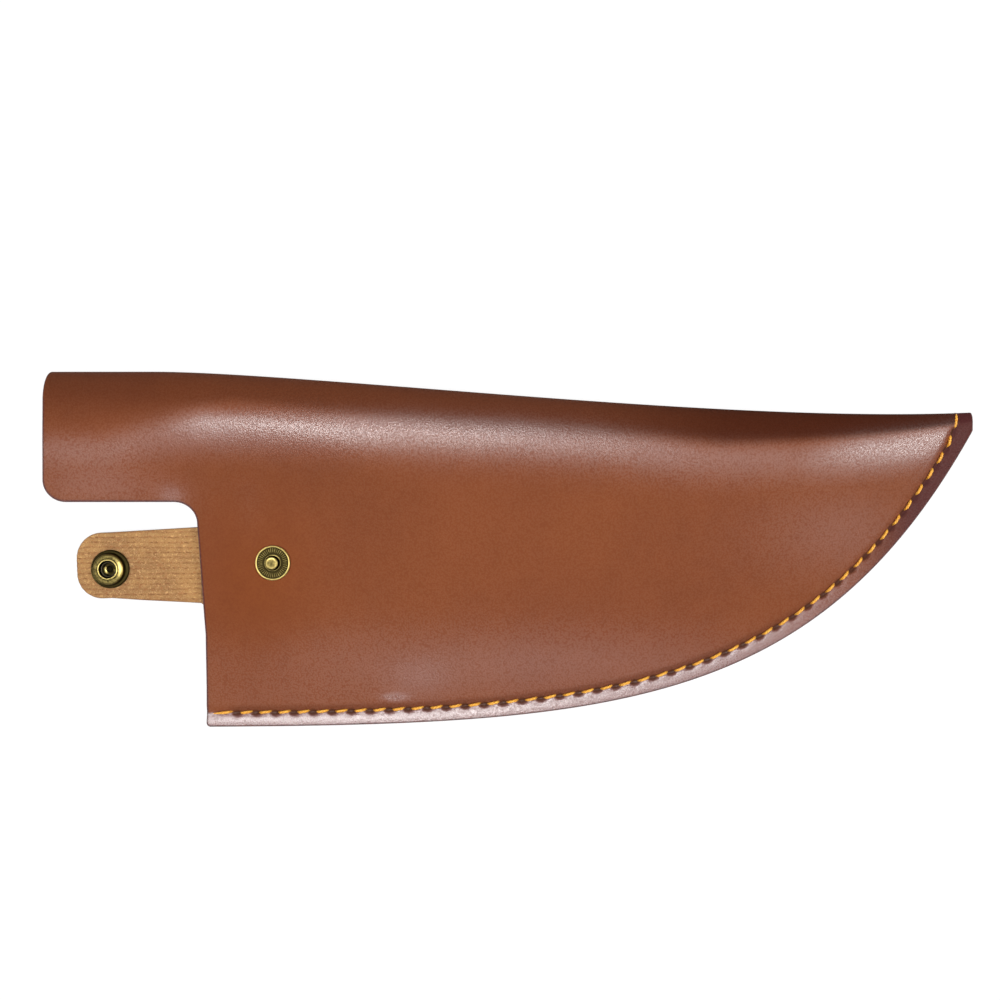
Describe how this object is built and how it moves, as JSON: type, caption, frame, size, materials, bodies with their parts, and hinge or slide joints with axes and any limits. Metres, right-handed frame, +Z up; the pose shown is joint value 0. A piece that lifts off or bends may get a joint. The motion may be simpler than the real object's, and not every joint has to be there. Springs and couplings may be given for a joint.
{
  "type": "knife blade guard",
  "caption": "Folded leather guard for a chef knife: stitched curved pouch, short handle cover, and a strap that wraps round the mouth to a snap stud.",
  "frame": {"origin": "centre of the box that holds the whole guard, on the surface that it lies on", "axes": "+X along the guard towards its tip, +Y across it towards the fold, +Z up from its flat back towards the front panel"},
  "size_m": [0.272, 0.105, 0.015],
  "materials": {
    "leather": "smooth brown leather with a fine grain and a soft sheen",
    "strap": "tan ribbed backing on the inner side, brown leather on the outer side",
    "thread": "orange-yellow waxed thread",
    "brass": "antique brass, darkened in the recesses",
    "spring": "bright spring wire"
  },
  "bodies": {
    "root": {"folded_body": "leather", "needle_thread": "thread", "bobbin_thread": "thread", "snap_stud": "brass", "stud_eyelet": "brass"},
    "strap_neck": {"strap_neck": "strap"},
    "strap_span": {"strap_span": "strap"},
    "strap_end": {"strap_end": "strap", "snap_cap": "brass", "snap_socket": "brass", "socket_spring": "spring"}
  },
  "joints": [
    {"name": "strap_root_bend", "type": "hinge", "parent": "root", "child": "strap_neck", "pos_m": [-0.09398, -0.00454, 0.0015], "axis": [-0.0375, 0.9993, 0], "range_deg": [0, 76.28], "stiffness_Nm_per_rad": 0.01, "deforming": ["socket_spring"]},
    {"name": "strap_top_bend", "type": "hinge", "parent": "strap_neck", "child": "strap_span", "pos_m": [-0.09691, -0.00465, 0.00192], "axis": [-0.0375, 0.9993, 0], "range_deg": [0, 84.45]},
    {"name": "strap_tip_bend", "type": "hinge", "parent": "strap_span", "child": "strap_end", "pos_m": [-0.11207, -0.00522, 0.0041], "axis": [-0.0375, 0.9993, 0], "range_deg": [0, 19.28]}
  ],
  "couplings": [
    {"joint": "strap_top_bend", "follows": "strap_root_bend", "ratio": 1.1072},
    {"joint": "strap_tip_bend", "follows": "strap_root_bend", "ratio": 0.2527}
  ]
}
